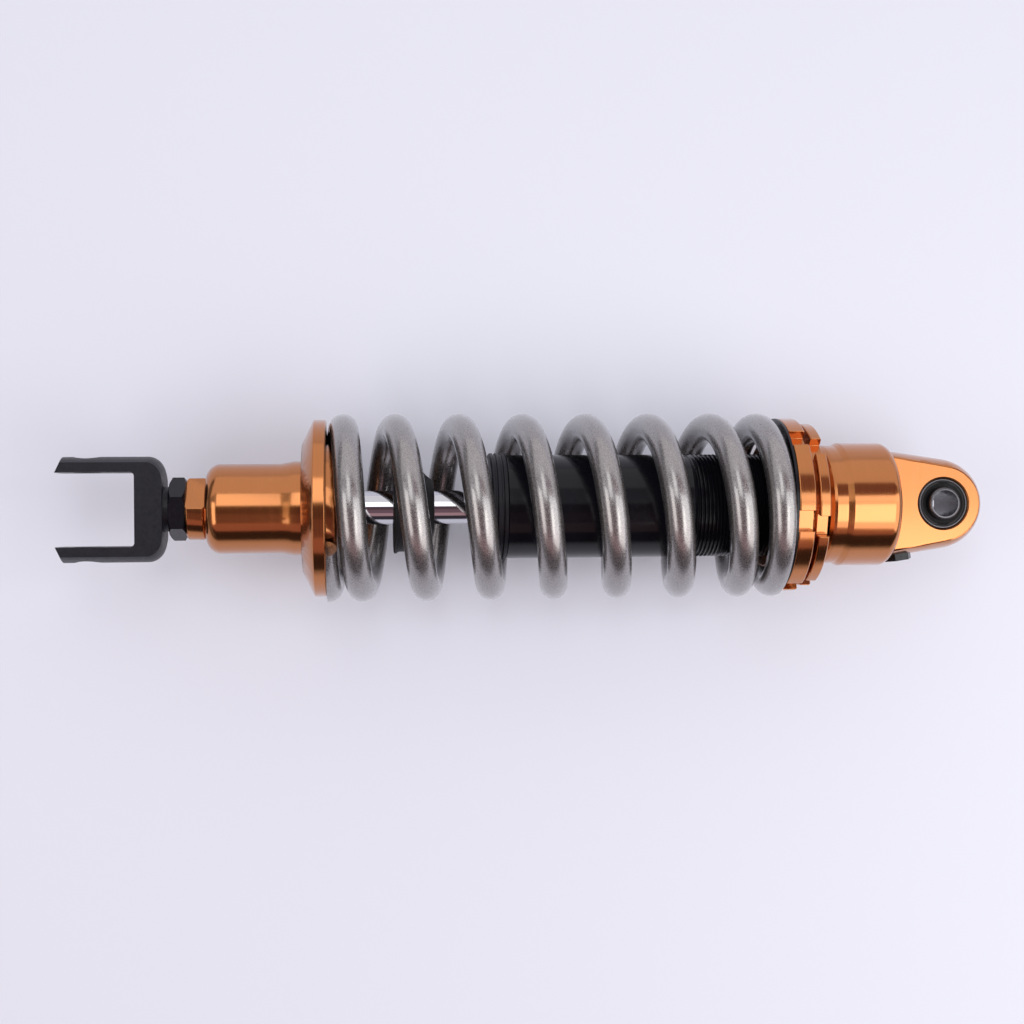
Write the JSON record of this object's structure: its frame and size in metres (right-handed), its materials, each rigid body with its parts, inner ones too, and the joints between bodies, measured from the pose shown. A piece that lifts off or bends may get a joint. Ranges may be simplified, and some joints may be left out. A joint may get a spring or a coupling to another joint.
{
  "type": "motorcycle shock absorber",
  "caption": "Coil-over motorcycle shock absorber with a bearing eye, a preload adjuster, a gas damper, a bump stop and a forked clevis.",
  "frame": {"origin": "centre of the eye sleeve's bore", "axes": "+X along the shock from the clevis to the eye, +Z along the eye's bore, +Y along the clevis pin"},
  "size_m": [0.3597, 0.072, 0.072],
  "materials": {
    "orange_anodised": "orange anodised, brushed",
    "black_anodised": "black anodised, satin",
    "black_gloss": "black gloss",
    "black_oxide": "black oxide",
    "spring_paint": "pearl grey, clear coated",
    "chrome": "hard chrome, polished",
    "rubber": "moulded rubber",
    "bearing_steel": "ground steel",
    "bare_aluminium": "machined",
    "bronze": "machined bronze",
    "slide_band": "filled plastic"
  },
  "bodies": {
    "damper": {"top_cap": "orange_anodised", "cap_ring": "rubber", "gas_plug": "black_oxide", "plug_washer": "bronze", "bearing_outer_ring": "bearing_steel", "bearing_needles": "bearing_steel", "bearing_seal_front": "rubber", "bearing_seal_back": "rubber", "damper_tube": "black_gloss", "end_cap": "black_anodised", "dust_wiper": "rubber", "rod_oil_seal": "rubber", "guide_bush": "bronze", "seal_head": "bare_aluminium", "seal_head_ring": "rubber", "head_clip": "bearing_steel"},
    "eye_sleeve": {"eye_sleeve": "bearing_steel"},
    "preload_seat": {"spring_thrust_washer": "black_oxide", "coil_spring": "spring_paint"},
    "adjuster_ring": {"adjuster_ring": "orange_anodised"},
    "lock_ring": {"lock_ring": "orange_anodised"},
    "rod_assembly": {"piston_rod": "chrome", "top_out_bumper": "rubber", "rebound_shims": "bearing_steel", "compression_shims": "bearing_steel", "piston": "bare_aluminium", "piston_band": "slide_band", "piston_nut": "bearing_steel", "lower_spring_seat": "orange_anodised", "jam_nut": "black_oxide", "clevis": "black_anodised"},
    "bump_stop": {"bump_stop": "rubber"},
    "floating_piston": {"floating_piston": "bare_aluminium", "floating_piston_ring": "rubber"}
  },
  "joints": [
    {"name": "preload_travel", "type": "slide", "parent": "damper", "child": "preload_seat", "axis": [1, 0, 0], "range_m": [-0.008, 0.0025]},
    {"name": "adjuster_turn", "type": "hinge", "parent": "preload_seat", "child": "adjuster_ring", "pos_m": [-0.0614, 0, 0], "axis": [1, 0, 0], "range_deg": [-1921, 601]},
    {"name": "lock_turn", "type": "hinge", "parent": "preload_seat", "child": "lock_ring", "pos_m": [-0.0549, 0, 0], "axis": [1, 0, 0], "range_deg": [-1921, 601]},
    {"name": "rod_slide", "type": "slide", "parent": "preload_seat", "child": "rod_assembly", "axis": [1, 0, 0], "range_m": [0, 0.036], "stiffness_N_per_m": 85000, "springref_m": -0.005, "deforming": ["coil_spring"]},
    {"name": "bump_stop_slide", "type": "slide", "parent": "rod_assembly", "child": "bump_stop", "axis": [1, 0, 0], "range_m": [-0.0199, 0]},
    {"name": "floating_piston_slide", "type": "slide", "parent": "damper", "child": "floating_piston", "axis": [1, 0, 0], "range_m": [0, 0.0054]},
    {"name": "sleeve_turn", "type": "hinge", "parent": "damper", "child": "eye_sleeve", "pos_m": [0, 0, 0], "axis": [0, 0, 1], "continuous": true}
  ],
  "couplings": [
    {"joint": "adjuster_turn", "follows": "preload_travel", "rad_per_m": 4188.8},
    {"joint": "lock_turn", "follows": "preload_travel", "rad_per_m": 4188.8},
    {"joint": "bump_stop_slide", "follows": "rod_slide", "ratio": -0.55},
    {"joint": "floating_piston_slide", "follows": "rod_slide", "ratio": 0.14619}
  ]
}
